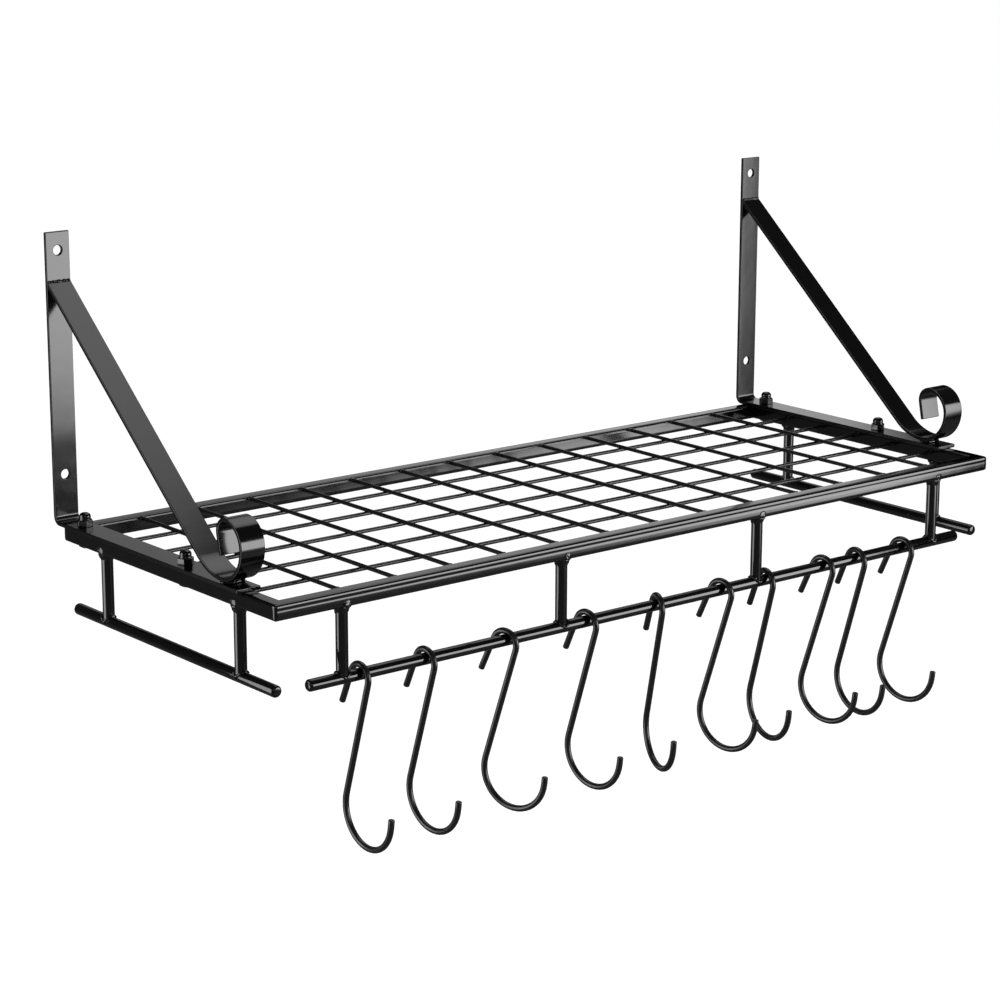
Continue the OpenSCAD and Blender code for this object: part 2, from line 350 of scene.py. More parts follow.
def makeSkinGroup():
    # the slight waviness of thick stoved paint, and the fine nibs in it
    group, start, end = newGroup(
        "enamelSkin",
        [("Point", "NodeSocketVector", None), ("Wave Size", "NodeSocketFloat", 9.0),
         ("Wave Depth", "NodeSocketFloat", 0.05), ("Peel Size", "NodeSocketFloat", 1.1),
         ("Peel Depth", "NodeSocketFloat", 0.006), ("Nib Depth", "NodeSocketFloat", 0.02)],
        [("Height", "NodeSocketFloat")])
    links = group.links

    def layer(sizeLabel, detail):
        scale = mathNode(group, "DIVIDE", 1 / mm, start.outputs[sizeLabel])
        cloud = addNode(group, "ShaderNodeTexNoise", noise_dimensions="3D")
        setInputs(cloud, {"Detail": detail, "Roughness": 0.5})
        links.new(start.outputs["Point"], cloud.inputs["Vector"])
        links.new(scale, cloud.inputs["Scale"])
        return cloud.outputs["Fac"]

    wave = mathNode(group, "MULTIPLY", layer("Wave Size", 1.0), start.outputs["Wave Depth"])
    peel = mathNode(group, "MULTIPLY", layer("Peel Size", 2.0), start.outputs["Peel Depth"])
    cells = addNode(group, "ShaderNodeTexVoronoi", feature="F1")
    setInputs(cells, {"Scale": 160.0})
    links.new(start.outputs["Point"], cells.inputs["Vector"])
    near = addNode(group, "ShaderNodeMapRange", interpolation_type="SMOOTHSTEP")
    setInputs(near, {"From Min": 0.13, "From Max": 0.03})
    links.new(cells.outputs["Distance"], near.inputs["Value"])
    rare = addNode(group, "ShaderNodeSeparateColor")
    links.new(cells.outputs["Color"], rare.inputs["Color"])
    chosen = mathNode(group, "GREATER_THAN", rare.outputs[0], 0.86)      # only one cell in seven has a nib
    nibs = mathNode(group, "MULTIPLY", near.outputs["Result"], chosen)
    nibLift = mathNode(group, "MULTIPLY", nibs, start.outputs["Nib Depth"])
    total = mathNode(group, "ADD", mathNode(group, "ADD", wave, peel), nibLift)
    links.new(total, end.inputs["Height"])
    return group


def makeToneGroup():
    # slow change of tone and gloss over the surface, with a film of dust on what faces up
    group, start, end = newGroup(
        "enamelTone",
        [("Point", "NodeSocketVector", None), ("Deep", "NodeSocketColor", (0.004, 0.004, 0.004, 1)),
         ("Thin", "NodeSocketColor", (0.02, 0.02, 0.021, 1)), ("Gloss", "NodeSocketFloat", 0.1),
         ("Gloss Change", "NodeSocketFloat", 0.05), ("Dust", "NodeSocketFloat", 0.02)],
        [("Color", "NodeSocketColor"), ("Roughness", "NodeSocketFloat")])
    links = group.links
    slow = addNode(group, "ShaderNodeTexNoise", noise_dimensions="3D")
    setInputs(slow, {"Scale": 14.0, "Detail": 4.0})
    fine = addNode(group, "ShaderNodeTexNoise", noise_dimensions="3D")
    setInputs(fine, {"Scale": 420.0, "Detail": 3.0})
    links.new(start.outputs["Point"], slow.inputs["Vector"])
    links.new(start.outputs["Point"], fine.inputs["Vector"])
    shape = addNode(group, "ShaderNodeNewGeometry")
    edge = addNode(group, "ShaderNodeMapRange", interpolation_type="SMOOTHSTEP")
    setInputs(edge, {"From Min": 0.54, "From Max": 0.66})
    links.new(shape.outputs["Pointiness"], edge.inputs["Value"])
    facing = addNode(group, "ShaderNodeSeparateXYZ")
    links.new(shape.outputs["Normal"], facing.inputs["Vector"])
    upward = mathNode(group, "MULTIPLY", facing.outputs["Z"], slow.outputs["Fac"], clamp=True)
    film = mathNode(group, "MULTIPLY", mathNode(group, "MULTIPLY", upward, fine.outputs["Fac"]),
                    start.outputs["Dust"])
    worn = mathNode(group, "MULTIPLY", edge.outputs["Result"], 0.6)      # paint is thin on sharp edges
    share = mathNode(group, "ADD", worn, film, clamp=True)
    blend = addNode(group, "ShaderNodeMix", data_type="RGBA")
    links.new(share, blend.inputs["Factor"])
    links.new(start.outputs["Deep"], blend.inputs["A"])
    links.new(start.outputs["Thin"], blend.inputs["B"])
    links.new(blend.outputs["Result"], end.inputs["Color"])
    change = mathNode(group, "MULTIPLY", slow.outputs["Fac"], start.outputs["Gloss Change"])
    rough = mathNode(group, "ADD", mathNode(group, "ADD", start.outputs["Gloss"], change), film,
                     clamp=True)
    links.new(rough, end.inputs["Roughness"])
    return group


def makeStreakGroup():
    # faint drawing lines of rolled or drawn steel that show through the paint, along one axis
    group, start, end = newGroup(
        "drawnLines",
        [("Point", "NodeSocketVector", None), ("Stretch", "NodeSocketVector", (1, 1, 1)),
         ("Depth", "NodeSocketFloat", 0.004)],
        [("Height", "NodeSocketFloat")])
    scaled = addNode(group, "ShaderNodeVectorMath", operation="MULTIPLY")
    lines = addNode(group, "ShaderNodeTexNoise", noise_dimensions="3D")
    setInputs(lines, {"Scale": 1.0, "Detail": 3.0})
    group.links.new(start.outputs["Point"], scaled.inputs[0])
    group.links.new(start.outputs["Stretch"], scaled.inputs[1])
    group.links.new(scaled.outputs[0], lines.inputs["Vector"])
    group.links.new(mathNode(group, "MULTIPLY", lines.outputs["Fac"], start.outputs["Depth"]),
                    end.inputs["Height"])
    return group


skinGroup = makeSkinGroup()
toneGroup = makeToneGroup()
streakGroup = makeStreakGroup()

# Each finish: base and thin tone, gloss, how wavy the paint lies (mm), and the steel's drawing lines
finishes = {
    "tubeEnamel": {"deep": 0.0020, "thin": 0.020, "gloss": 0.07, "change": 0.04, "wave": (16, 0.035),
                   "peel": (1.6, 0.0035), "nib": 0.012, "dust": 0.03, "lines": ((30, 30, 900), 0.006)},
    "barEnamel": {"deep": 0.0014, "thin": 0.016, "gloss": 0.11, "change": 0.06, "wave": (13, 0.03),
                  "peel": (1.4, 0.003), "nib": 0.010, "dust": 0.03, "lines": ((500, 30, 30), 0.004)},
    "rodEnamel": {"deep": 0.0020, "thin": 0.018, "gloss": 0.05, "change": 0.04, "wave": (9, 0.03),
                  "peel": (1.2, 0.0035), "nib": 0.015, "dust": 0.02, "lines": ((60, 60, 60), 0.002)},
    "wireEnamel": {"deep": 0.0022, "thin": 0.016, "gloss": 0.16, "change": 0.07, "wave": (5, 0.02),
                   "peel": (1.0, 0.004), "nib": 0.015, "dust": 0.03, "lines": ((90, 90, 90), 0.003)},
    "hookEnamel": {"deep": 0.007, "thin": 0.030, "gloss": 0.24, "change": 0.10, "wave": (4, 0.02),
                   "peel": (0.9, 0.006), "nib": 0.02, "dust": 0.02, "lines": ((90, 90, 90), 0.004)},
    "weldEnamel": {"deep": 0.0025, "thin": 0.018, "gloss": 0.10, "change": 0.05, "wave": (2.6, 0.10),
                   "peel": (0.9, 0.01), "nib": 0.03, "dust": 0.02, "lines": ((60, 60, 60), 0.002)},
    "nutEnamel": {"deep": 0.0025, "thin": 0.030, "gloss": 0.12, "change": 0.06, "wave": (4, 0.02),
                  "peel": (0.9, 0.004), "nib": 0.012, "dust": 0.03, "lines": ((60, 60, 60), 0.002)},
}


def makeFinish(name):
    look = finishes[name]
    material, tree, paint = newMaterial(name)
    links = tree.links
    where = addNode(tree, "ShaderNodeTexCoord")
    skin = addNode(tree, "ShaderNodeGroup", node_tree=skinGroup)
    tone = addNode(tree, "ShaderNodeGroup", node_tree=toneGroup)
    lines = addNode(tree, "ShaderNodeGroup", node_tree=streakGroup)
    for node in (skin, tone, lines):
        links.new(where.outputs["Object"], node.inputs["Point"])
    (waveSize, waveDepth), (peelSize, peelDepth) = look["wave"], look["peel"]
    stretch, lineDepth = look["lines"]
    setInputs(skin, {"Wave Size": waveSize, "Wave Depth": waveDepth, "Peel Size": peelSize,
                     "Peel Depth": peelDepth, "Nib Depth": look["nib"]})
    setInputs(tone, {"Deep": grey(look["deep"], 1.03), "Thin": grey(look["thin"], 1.04),
                     "Gloss": look["gloss"], "Gloss Change": look["change"], "Dust": look["dust"]})
    setInputs(lines, {"Stretch": stretch, "Depth": lineDepth})
    bump = addNode(tree, "ShaderNodeBump")
    setInputs(bump, {"Strength": 1.0, "Distance": 1.0 * mm})
    links.new(mathNode(tree, "ADD", skin.outputs["Height"], lines.outputs["Height"]), bump.inputs["Height"])
    links.new(bump.outputs["Normal"], paint.inputs["Normal"])
    links.new(tone.outputs["Color"], paint.inputs["Base Color"])
    links.new(tone.outputs["Roughness"], paint.inputs["Roughness"])
    setInputs(paint, {"IOR": 1.75})
    return material


finish = {name: makeFinish(name) for name in finishes}
print("finishes made:", len(finish))


# Frame of square tube: one ring is modelled, and cut at the mitres into its four rails
rails = {
    "corner": 2.0, "segments": 6, "flat": 0.6, "crown": 0.05, "loops": (0.6, 2.4),
    "lineAt": 1.7, "lineHalf": 1.75, "lineDeep": 0.085, "lineLoops": (0.3, 1.05, 1.4, 1.7, 2.0, 2.8, 3.2),
}


def crownFaces(ring):
    # drawn tube is very slightly fuller in the middle of each face than beside its corners
    half, flat, drop = rack["tube"] / 2, rails["flat"], rails["crown"]
    midX, midY, midZ = rack["width"] / 2 - half, rack["depth"] / 2 - half, rack["top"] - half
    planes = [((0, 0, midZ + side * level), (0, 0, 1)) for side in (-1, 1) for level in rails["loops"]]
    planes += [((0, 0, midZ + level), (0, 0, 1)) for level in rails["lineLoops"]]
    for way in (-1, 1):
        for side in (-1, 1):
            for level in rails["loops"]:
                planes.append(((way * midX + side * level, 0, 0), (1, 0, 0)))
                planes.append(((0, rack["frameMid"] + way * midY + side * level, 0), (0, 1, 0)))
    for spot, facing in planes:
        cutAcross(ring, spot, facing)

    def fall(offset):
        share = max(0.0, (abs(offset) - flat) / (half - flat))
        return 1 - drop / half * share ** 2

    for point in ring.data.vertices:
        x, y, z = point.co / mm
        y -= rack["frameMid"]
        sideX = rack["width"] / 2 - abs(x)          # how far in from the outer faces
        sideY = rack["depth"] / 2 - abs(y)
        depthIn = min(sideX, sideY) - half
        up = z - midZ
        newIn = depthIn * fall(up) - depthIn
        point.co.z = (midZ + up * fall(depthIn)) * mm
        if sideX <= rack["tube"] + sameSpot:
            point.co.x -= math.copysign(newIn, x) * mm
        if sideY <= rack["tube"] + sameSpot:
            point.co.y -= math.copysign(newIn, y) * mm
        if sideY < sameSpot and y < 0:              # the front face has a shallow line left by the rolls
            share = min(1.0, abs(up - rails["lineAt"]) / rails["lineHalf"])
            point.co.y += rails["lineDeep"] / 2 * (1 + math.cos(math.pi * share)) * mm


def makeRails():
    width, depth, tube, middle = rack["width"], rack["depth"], rack["tube"], rack["frameMid"]
    bpy.ops.mesh.primitive_cube_add(size=1, location=Vector((0, middle, rack["top"] - tube / 2)) * mm)
    ring = newPiece("frameRing")
    ring.scale = Vector((width, depth, tube)) * mm
    settle(ring)
    editMesh(ring)
    chooseFaces(ring, lambda face: abs(face.normal.z) > 0.9)
    bpy.ops.mesh.inset(thickness=tube * mm, depth=0)
    bpy.ops.mesh.bridge_edge_loops()

    def rounded(edge):
        # all level edges along the tubes, and the upright ones at the outer corners
        first, second = (point.co / mm for point in edge.verts)
        run = second - first
        if abs(run.z) > sameSpot:
            offX, offY = abs(first.x) - width / 2, abs(first.y - middle) - depth / 2
            return abs(offX) < sameSpot and abs(offY) < sameSpot
        return abs(run.x) < sameSpot or abs(run.y) < sameSpot

    bpy.ops.mesh.select_mode(type="EDGE")
    chooseEdges(ring, rounded)
    bpy.ops.mesh.bevel(offset=rails["corner"] * mm, segments=rails["segments"], affect="EDGES")
    leaveEdit()
    outwards(ring)
    crownFaces(ring)
    left, right, front, rear = -width / 2, width / 2, middle - depth / 2, middle + depth / 2
    cuts = {                                        # a point of each cut, and the way to what stays
        "rail_front": [((left, front), (1, -1)), ((right, front), (-1, -1)), ((0, middle), (0, -1))],
        "rail_rear": [((left, rear), (1, 1)), ((right, rear), (-1, 1)), ((0, middle), (0, 1))],
        "rail_left": [((left, front), (-1, 1)), ((left, rear), (-1, -1))],
        "rail_right": [((right, front), (1, 1)), ((right, rear), (1, -1))],
    }
    for node, planes in cuts.items():
        rail = copyPiece(ring, node + "_tube", Matrix.Identity(4))
        for spot, facing in planes:
            cutAcross(rail, (*spot, 0), (*facing, 0), clear="inner")
        outwards(rail)
        smooth(rail, 30)
        mount(rail, [node], finish["tubeEnamel"])
    bpy.data.objects.remove(ring)
    print("rails made:", len(cuts))


makeRails()


# Brackets: each is a bent strap and a brace whose lower end is a scroll
bracket = {
    "width": 20.0, "thick": 3.0, "edge": 0.55, "legTop": 99.0, "bendR": 5.5, "bendZ": -116.0,
    "footEnd": 247.0, "holeZ": 85.0, "holeD": 7.5, "drillL": 12.0, "braceTop": 62.0, "scrollAt": 227.0,
    "sweepR": 43.5, "lowR": 25.0, "highR": 18.5, "curlR": 10.0, "curlAngle": 102.0, "tip": 15.0,
    "scrollBottom": -118.0, "scrollStep": 3.0, "extra": 8.0,     # extra length that the leg's face cuts off
}
bracket["section"] = {"kind": "bar", "width": bracket["width"], "thick": bracket["thick"]}


def makeStrap():
    b = bracket
    legRun = b["legTop"] - b["bendZ"]
    footRun = b["footEnd"] - b["thick"] / 2 - b["bendR"]
    strap = sweep("strapShape", b["section"], [
        ("run", legRun, 0), ("bend", b["bendR"], 90), ("run", footRun, 0)])
    turn = Matrix.Rotation(math.pi, 4, "Z") @ Matrix.Rotation(math.radians(-90), 4, "X")
    settle(strap, moveTo(0, -b["thick"] / 2, b["legTop"]) @ turn)
    for height in (b["holeZ"], -b["holeZ"]):
        bpy.ops.mesh.primitive_cylinder_add(
            vertices=40, radius=b["holeD"] / 2 * mm, depth=b["drillL"] * mm,
            location=(0, 0, height * mm), rotation=(math.radians(90), 0, 0))
        drill = newPiece("drill")
        settle(drill)
        drillOut(strap, drill)
    roundEdges(strap, b["edge"])
    smooth(strap, 50, flat=True)
    return strap


def makeBrace():
    # the straight part leaves the leg at the slope that meets the scroll's first bend
    b = bracket
    sweepZ = b["scrollBottom"] + b["sweepR"] + b["thick"] / 2
    run, rise = b["scrollAt"] - b["thick"], b["braceTop"] - sweepZ
    inner = b["sweepR"] - b["thick"] / 2
    slope = math.degrees(math.atan2(rise, run) + math.asin(inner / math.hypot(run, rise)))
    down = math.radians(slope)
    startY = b["scrollAt"] - b["sweepR"] * math.sin(down)
    startZ = sweepZ - b["sweepR"] * math.cos(down)
    straight = (startY - b["thick"]) / math.cos(down) + b["extra"]
    brace = sweep("braceShape", b["section"], [
        ("run", straight, 0), ("bend", b["sweepR"], slope), ("bend", b["lowR"], 90), ("bend", b["highR"], 90),
        ("bend", b["curlR"], b["curlAngle"]), ("run", b["tip"], 0)], b["scrollStep"])
    turn = Matrix.Rotation(math.pi, 4, "Z") @ Matrix.Rotation(-down, 4, "X")
    firstY = startY - straight * math.cos(down)
    firstZ = startZ + straight * math.sin(down)
    settle(brace, moveTo(0, -firstY, firstZ) @ turn)
    cutAcross(brace, (0, -b["thick"], 0), (0, 1, 0), clear="outer")
    outwards(brace)
    roundEdges(brace, b["edge"])
    smooth(brace, 50, flat=True)
    return brace


def makeBrackets():
    strap, brace = makeStrap(), makeBrace()
    for side, name in bothSides:
        for shape, node in ((strap, "strap_" + name), (brace, "brace_" + name)):
            bar = copyPiece(shape, node + "_bar", moveTo(side * rack["side"], 0, 0))
            mount(bar, [node], finish["barEnamel"])
    bpy.data.objects.remove(strap)
    bpy.data.objects.remove(brace)
    print("brackets made:", len(bothSides))


makeBrackets()


# Hanging rods and their posts
rods = {
    "section": {"kind": "round", "d": rack["rodD"], "sides": 40},
    "endR": 2.2, "frontL": 660.0, "sideL": 265.0,
    "frontPosts": (-300.0, -100.0, 100.0, 300.0), "sidePosts": {"rear": -59.0, "front": -235.0},
}


def makeRod(length):
    rod = sweep("rodShape", rods["section"], [("run", length, 0)])
    roundEdges(rod, rods["endR"], 5, 60)
    smooth(rod)
    return rod


def makeRods():
    alongX = Matrix.Rotation(math.radians(-90), 4, "Z")
    front = makeRod(rods["frontL"])
    settle(front, moveTo(-rods["frontL"] / 2, rack["frontY"], rack["rodZ"]) @ alongX)
    front.name = "rod_front_bar"
    mount(front, ["rod_front"], finish["rodEnamel"])
    shape = makeRod(rods["sideL"])
    for side, name in bothSides:
        rod = copyPiece(shape, "rod_" + name + "_bar", moveTo(
            side * rack["side"], rack["frameMid"] - rods["sideL"] / 2, rack["rodZ"]))
        mount(rod, ["rod_" + name], finish["rodEnamel"])
    bpy.data.objects.remove(shape)
    post = sweep("postShape", rods["section"], [("run", rack["bottom"] - rack["rodZ"], 0)])
    settle(post, Matrix.Rotation(math.radians(90), 4, "X"))
    smooth(post)
    places = [("post_front_%d" % i, x, rack["frontY"]) for i, x in enumerate(rods["frontPosts"], 1)]
    for side, name in bothSides:
        for where, y in rods["sidePosts"].items():
            places.append(("post_%s_%s" % (name, where), side * rack["side"], y))
    for node, x, y in places:
        one = copyPiece(post, node + "_bar", moveTo(x, y, rack["rodZ"]))
        mount(one, [node], finish["rodEnamel"])
    bpy.data.objects.remove(post)
    print("rods and posts made:", 1 + len(bothSides) + len(places))
    return places


postPlaces = makeRods()


# Shelf wires, each with the small weld that joins its ends to the rails
wires = {
    "section": {"kind": "round", "d": 3.2, "sides": 16},
    "crossCount": 13, "longCount": 5, "crossZ": -124.8, "longZ": -128.0, "innerW": 696.0, "innerD": 256.0,
    "dot": {"radii": (2.3, 1.9, 1.75), "rings": 3, "ease": 0.3, "rough": (1.4, 0.35)},
    "dotIn": 0.5, "dotUp": 0.2, "crossSeeds": (1, 4, 9), "longSeeds": (2, 6),
}


def makeWire(length, seed):
    wire = sweep("wireShape", wires["section"], [("run", length, 0)])
    smooth(wire)
    ends = (wires["dotIn"], length - wires["dotIn"])
    dots = [makeLump("weldDot", wires["dot"], seed + i, (0, y, wires["dotUp"])) for i, y in enumerate(ends)]
    return joinPieces(wire, dots)


def makeWires():
    frontIn = rack["frameMid"] - wires["innerD"] / 2
    shapes = [makeWire(wires["innerD"], seed) for seed in wires["crossSeeds"]]
    for i in range(1, wires["crossCount"] + 1):
        x = -wires["innerW"] / 2 + i * wires["innerW"] / (wires["crossCount"] + 1)
        node = "cross_wire_%02d" % i
        wire = copyPiece(shapes[i % len(shapes)], node + "_bar", moveTo(x, frontIn, wires["crossZ"]))
        mount(wire, [node], finish["wireEnamel"])
    longShapes = [makeWire(wires["innerW"], seed) for seed in wires["longSeeds"]]
    alongX = Matrix.Rotation(math.radians(-90), 4, "Z")
    for j in range(1, wires["longCount"] + 1):
        y = frontIn + j * wires["innerD"] / (wires["longCount"] + 1)
        node = "long_wire_%d" % j
        wire = copyPiece(longShapes[j % len(longShapes)], node + "_bar",
                         moveTo(-wires["innerW"] / 2, y, wires["longZ"]) @ alongX)
        mount(wire, [node], finish["wireEnamel"])
    for shape in shapes + longShapes:
        bpy.data.objects.remove(shape)
    print("shelf wires made:", wires["crossCount"] + wires["longCount"])


makeWires()


# Cap nuts on top of the feet and screws under the side rails
fasteners = {
    "across": 11.0, "hexH": 4.8, "chamfer": 0.75, "chamferH": 0.35, "hexEdge": 0.4,
    "dome": ((4.75, 4.4), (4.75, 5.2), (4.35, 5.7), (4.3, 6.3), (4.45, 6.8), (4.4, 7.8), (4.1, 8.8),
             (3.5, 9.6), (2.6, 10.15), (1.5, 10.42), (0.4, 10.5)),
    "headD": 10.5, "headH": 1.8, "faceIn": 2.7,
    "headEdge": ((-0.3, 0), (0, -0.15), (-0.15, -0.35), (-0.9, -0.8), (-1.8, -1.25)),
    "socket": 4.0, "socketDeep": 1.2, "socketEdge": 0.15, "rim": 0.5,
    "shank": {"kind": "round", "d": 5.8, "sides": 24}, "shankL": 17.0,
    "ys": {"rear": -29.0, "front": -167.0},
    "turns": {"left_rear": -24, "left_front": -43, "right_rear": -30, "right_front": -48},
}


def addHexagon(name, across, height, middle):
    # a six-sided bar, given by its width over the flats
    bpy.ops.mesh.primitive_cylinder_add(
        vertices=6, radius=across / 2 / math.cos(math.pi / 6) * mm, depth=height * mm,
        location=(0, 0, middle * mm))
    hexagon = newPiece(name)
    settle(hexagon)
    return hexagon


def makeCapNut():
    f = fasteners
    nut = addHexagon("nutShape", f["across"], f["hexH"], f["hexH"] / 2)
    editMesh(nut)
    chooseFaces(nut, lambda face: face.normal.z > 0.9)
    bpy.ops.mesh.inset(thickness=f["chamfer"] * mm, depth=0)
    bpy.ops.transform.translate(value=(0, 0, f["chamferH"] * mm))
    leaveEdit()
    roundEdges(nut, f["hexEdge"], 4, 20)
    smooth(nut, 60, flat=True)
    dome = turned("domeShape", f["dome"], 40)
    smooth(dome, 50)
    return joinPieces(nut, [dome])


def makeScrew():
    f = fasteners
    r, h = f["headD"] / 2, f["headH"]
    profile = [(r + out, level) for out, level in f["headEdge"]] + [(r - f["faceIn"], -h)]
    head = turned("screwShape", profile, 40)
    editMesh(head)
    chooseFaces(head, lambda face: len(face.verts) > 10 and face.calc_center_median().z < -h / 2 * mm)
    bpy.ops.mesh.inset(thickness=f["rim"] * mm, depth=0)
    leaveEdit()
    drillOut(head, addHexagon("socket", f["socket"], 2 * f["socketDeep"], -h))
    roundEdges(head, f["socketEdge"], 2, 50)
    smooth(head)
    shank = sweep("shankShape", f["shank"], [("run", f["shankL"], 0)])
    settle(shank, Matrix.Rotation(math.radians(90), 4, "X"))
    smooth(shank)
    return joinPieces(head, [shank])


def makeFasteners():
    nut, screw = makeCapNut(), makeScrew()
    for side, name in bothSides:
        for where, y in fasteners["ys"].items():
            tag = "%s_%s" % (name, where)
            spin = Matrix.Rotation(math.radians(fasteners["turns"][tag]), 4, "Z")
            for shape, kind, z in ((nut, "cap_nut_", rack["footTop"]), (screw, "screw_", rack["bottom"])):
                one = copyPiece(shape, kind + tag + "_part", moveTo(side * rack["side"], y, z) @ spin)
                mount(one, [kind + tag], finish["nutEnamel"])
    bpy.data.objects.remove(nut)
    bpy.data.objects.remove(screw)
    print("fasteners made:", 2 * len(fasteners["turns"]))


makeFasteners()


# S-hooks, bent from one wire: tail, loop over the rod, leaning shank, open bow and short tip
hooks = {
    "section": {"kind": "round", "d": 4.8, "sides": 20},
    "tail": 29.0, "loopR": 10.2, "tailAngle": 65.0, "lean": 18.0, "shank": 91.0,
    "bowR": 27.0, "bowAngle": 82.0, "tip": 6.0, "hang": 0.9, "z": -190.5, "endR": 0.7,
    "shares": (-0.432, -0.344, -0.233, -0.114, -0.006, 0.095, 0.168, 0.264, 0.322, 0.403),
    "yaws": (0, 3, 16, 6, -19, 10, -9, 8, -3, 6),
}


def makeHookShape():
    # drawn from the tail's end; in the hook's own plane Y points to the front of the rack
    h = hooks
    loopTurn = h["tailAngle"] + 90 + h["lean"]
    bowTurn = 90 + h["lean"] + h["bowAngle"]
    hook = sweep("hookShape", h["section"], [
        ("run", h["tail"], 0), ("bend", h["loopR"], -loopTurn), ("run", h["shank"], 0),
        ("bend", h["bowR"], bowTurn), ("run", h["tip"], 0)])
    roundEdges(hook, h["endR"], 3, 60)
    smooth(hook)
    tail = math.radians(h["tailAngle"])             # the tail rises forwards to the loop
    startY = -h["loopR"] * math.sin(tail) - h["tail"] * math.cos(tail)
    startZ = h["loopR"] * math.cos(tail) - h["tail"] * math.sin(tail)
    settle(hook, moveTo(0, startY, startZ) @ Matrix.Rotation(tail, 4, "X"))
    settle(hook, Matrix.Rotation(math.radians(h["hang"]), 4, "X"))
    return hook


def makeHooks():
    shape = makeHookShape()
    for i, (share, yaw) in enumerate(zip(hooks["shares"], hooks["yaws"]), 1):
        place = moveTo(share * rods["frontL"], rack["frontY"], hooks["z"])
        place = place @ Matrix.Rotation(math.radians(yaw + 180), 4, "Z")
        node = "hook_%02d" % i
        mount(copyPiece(shape, node + "_wire", place), [node], finish["hookEnamel"], node)
    bpy.data.objects.remove(shape)
    print("hooks made:", len(hooks["yaws"]))


makeHooks()


# Welds: collars where posts meet rail and rod, beads on the brackets
welds = {
    "collarR": 1.45, "collarUp": 0.2, "collarEase": 0.2, "collarRough": (1.7, 0.58),
    "fillet": ((4.2, -5.4), (4.6, -4.6), (4.9, -3.6), (5.3, -2.4), (5.9, -1.3), (6.5, -0.4), (6.6, 0.3),
               (5.8, 1.0)),
    "filletRough": (2.4, 0.8),
    "lump": {"radii": (3.6, 1.15, 3.4), "rings": 4, "ease": 0.2, "rough": (2.2, 0.35)},
    "lumpUp": 2.6, "lumpIn": 0.3, "lumpShifts": (0.4, 1.4), "sideShift": 0.8,
    "bead": 1.1, "beadShort": 1.7, "beadCuts": 40, "beadRough": (1.6, 0.6), "beadOut": 0.1, "beadSeed": 11,
    "pad": {"radii": (10.0, 6.0, 2.2), "rings": 4, "ease": 0.2, "rough": (2.6, 0.25)},
    "padDown": 1.0, "padSeed": 17,
}


def makeCollar(name, seed):
    radius = rack["rodD"] / 2 * mm
    bpy.ops.mesh.primitive_torus_add(
        major_radius=radius, minor_radius=welds["collarR"] * mm, major_segments=56, minor_segments=12)
    collar = newPiece(name)
    settle(collar)
    ease(collar, welds["collarEase"])
    for point in collar.data.vertices:              # the collar climbs over the rod, which lies along X
        point.co.z += radius * abs(point.co.x) / math.hypot(point.co.x, point.co.y)
    roughen(collar, *welds["collarRough"], seed)
    smooth(collar, 80)
    return collar


def makePostWelds():
    w = welds
    out = rack["tube"] / 2 - w["lumpIn"]
    for index, (node, x, y) in enumerate(postPlaces):
        front = node.startswith("post_front")
        turn = Matrix.Identity(4) if front else Matrix.Rotation(math.radians(90), 4, "Z")
        low = makeCollar(node + "_weldLow", index * 2)
        settle(low, moveTo(x, y, rack["rodZ"] + w["collarUp"]) @ turn)
        high = turned("weldHigh", w["fillet"], 48)
        roughen(high, *w["filletRough"], index * 2 + 1)
        smooth(high, 80)
        settle(high, moveTo(x, y, rack["bottom"]))
        lump = makeLump("weldLump", w["lump"], index + 3)       # it runs up the rail's outer face
        if front:
            spotX, spotY = x + w["lumpShifts"][index % 2], y - out
        else:
            spotX, spotY = x + math.copysign(out, x), y - w["sideShift"]
        settle(lump, moveTo(spotX, spotY, rack["bottom"] + w["lumpUp"]) @ turn)
        weld = joinPieces(low, [high, lump])
        weld.name = node + "_weld"
        mount(weld, [], finish["weldEnamel"])
    print("post welds made:", len(postPlaces))


def makeBracketWelds():
    b, w = bracket, welds
    for side, name in bothSides:
        x = side * rack["side"]
        bpy.ops.mesh.primitive_cylinder_add(
            vertices=14, radius=w["bead"] * mm, depth=(b["width"] - w["beadShort"]) * mm,
            rotation=(0, math.radians(90), 0), end_fill_type="TRIFAN")
        bead = newPiece("brace_%s_weld" % name)
        settle(bead)
        editMesh(bead)
        chooseFaces(bead, lambda face: abs(face.normal.x) < 0.5)
        bpy.ops.mesh.subdivide(number_cuts=w["beadCuts"], quadcorner="INNERVERT", ngon=False)
        leaveEdit()
        roughen(bead, *w["beadRough"], w["beadSeed"] + side)
        smooth(bead, 80)
        settle(bead, moveTo(x, -b["thick"] - w["beadOut"], b["braceTop"] - w["beadOut"]))
        mount(bead, [], finish["weldEnamel"])
        pad = makeLump("scroll_%s_weld" % name, w["pad"], w["padSeed"] + side)
        settle(pad, moveTo(x, -b["scrollAt"], b["scrollBottom"] - w["padDown"]))
        mount(pad, [], finish["weldEnamel"])
    print("bracket welds made:", 2 * len(bothSides))


makePostWelds()
makeBracketWelds()


# Studio: pale floor and backdrop, soft boxes and the camera
floorLook = {"size": 14, "place": (0, 1.5, -0.95), "plain": 0.5, "mirror": 0.14, "seen": 0.85}


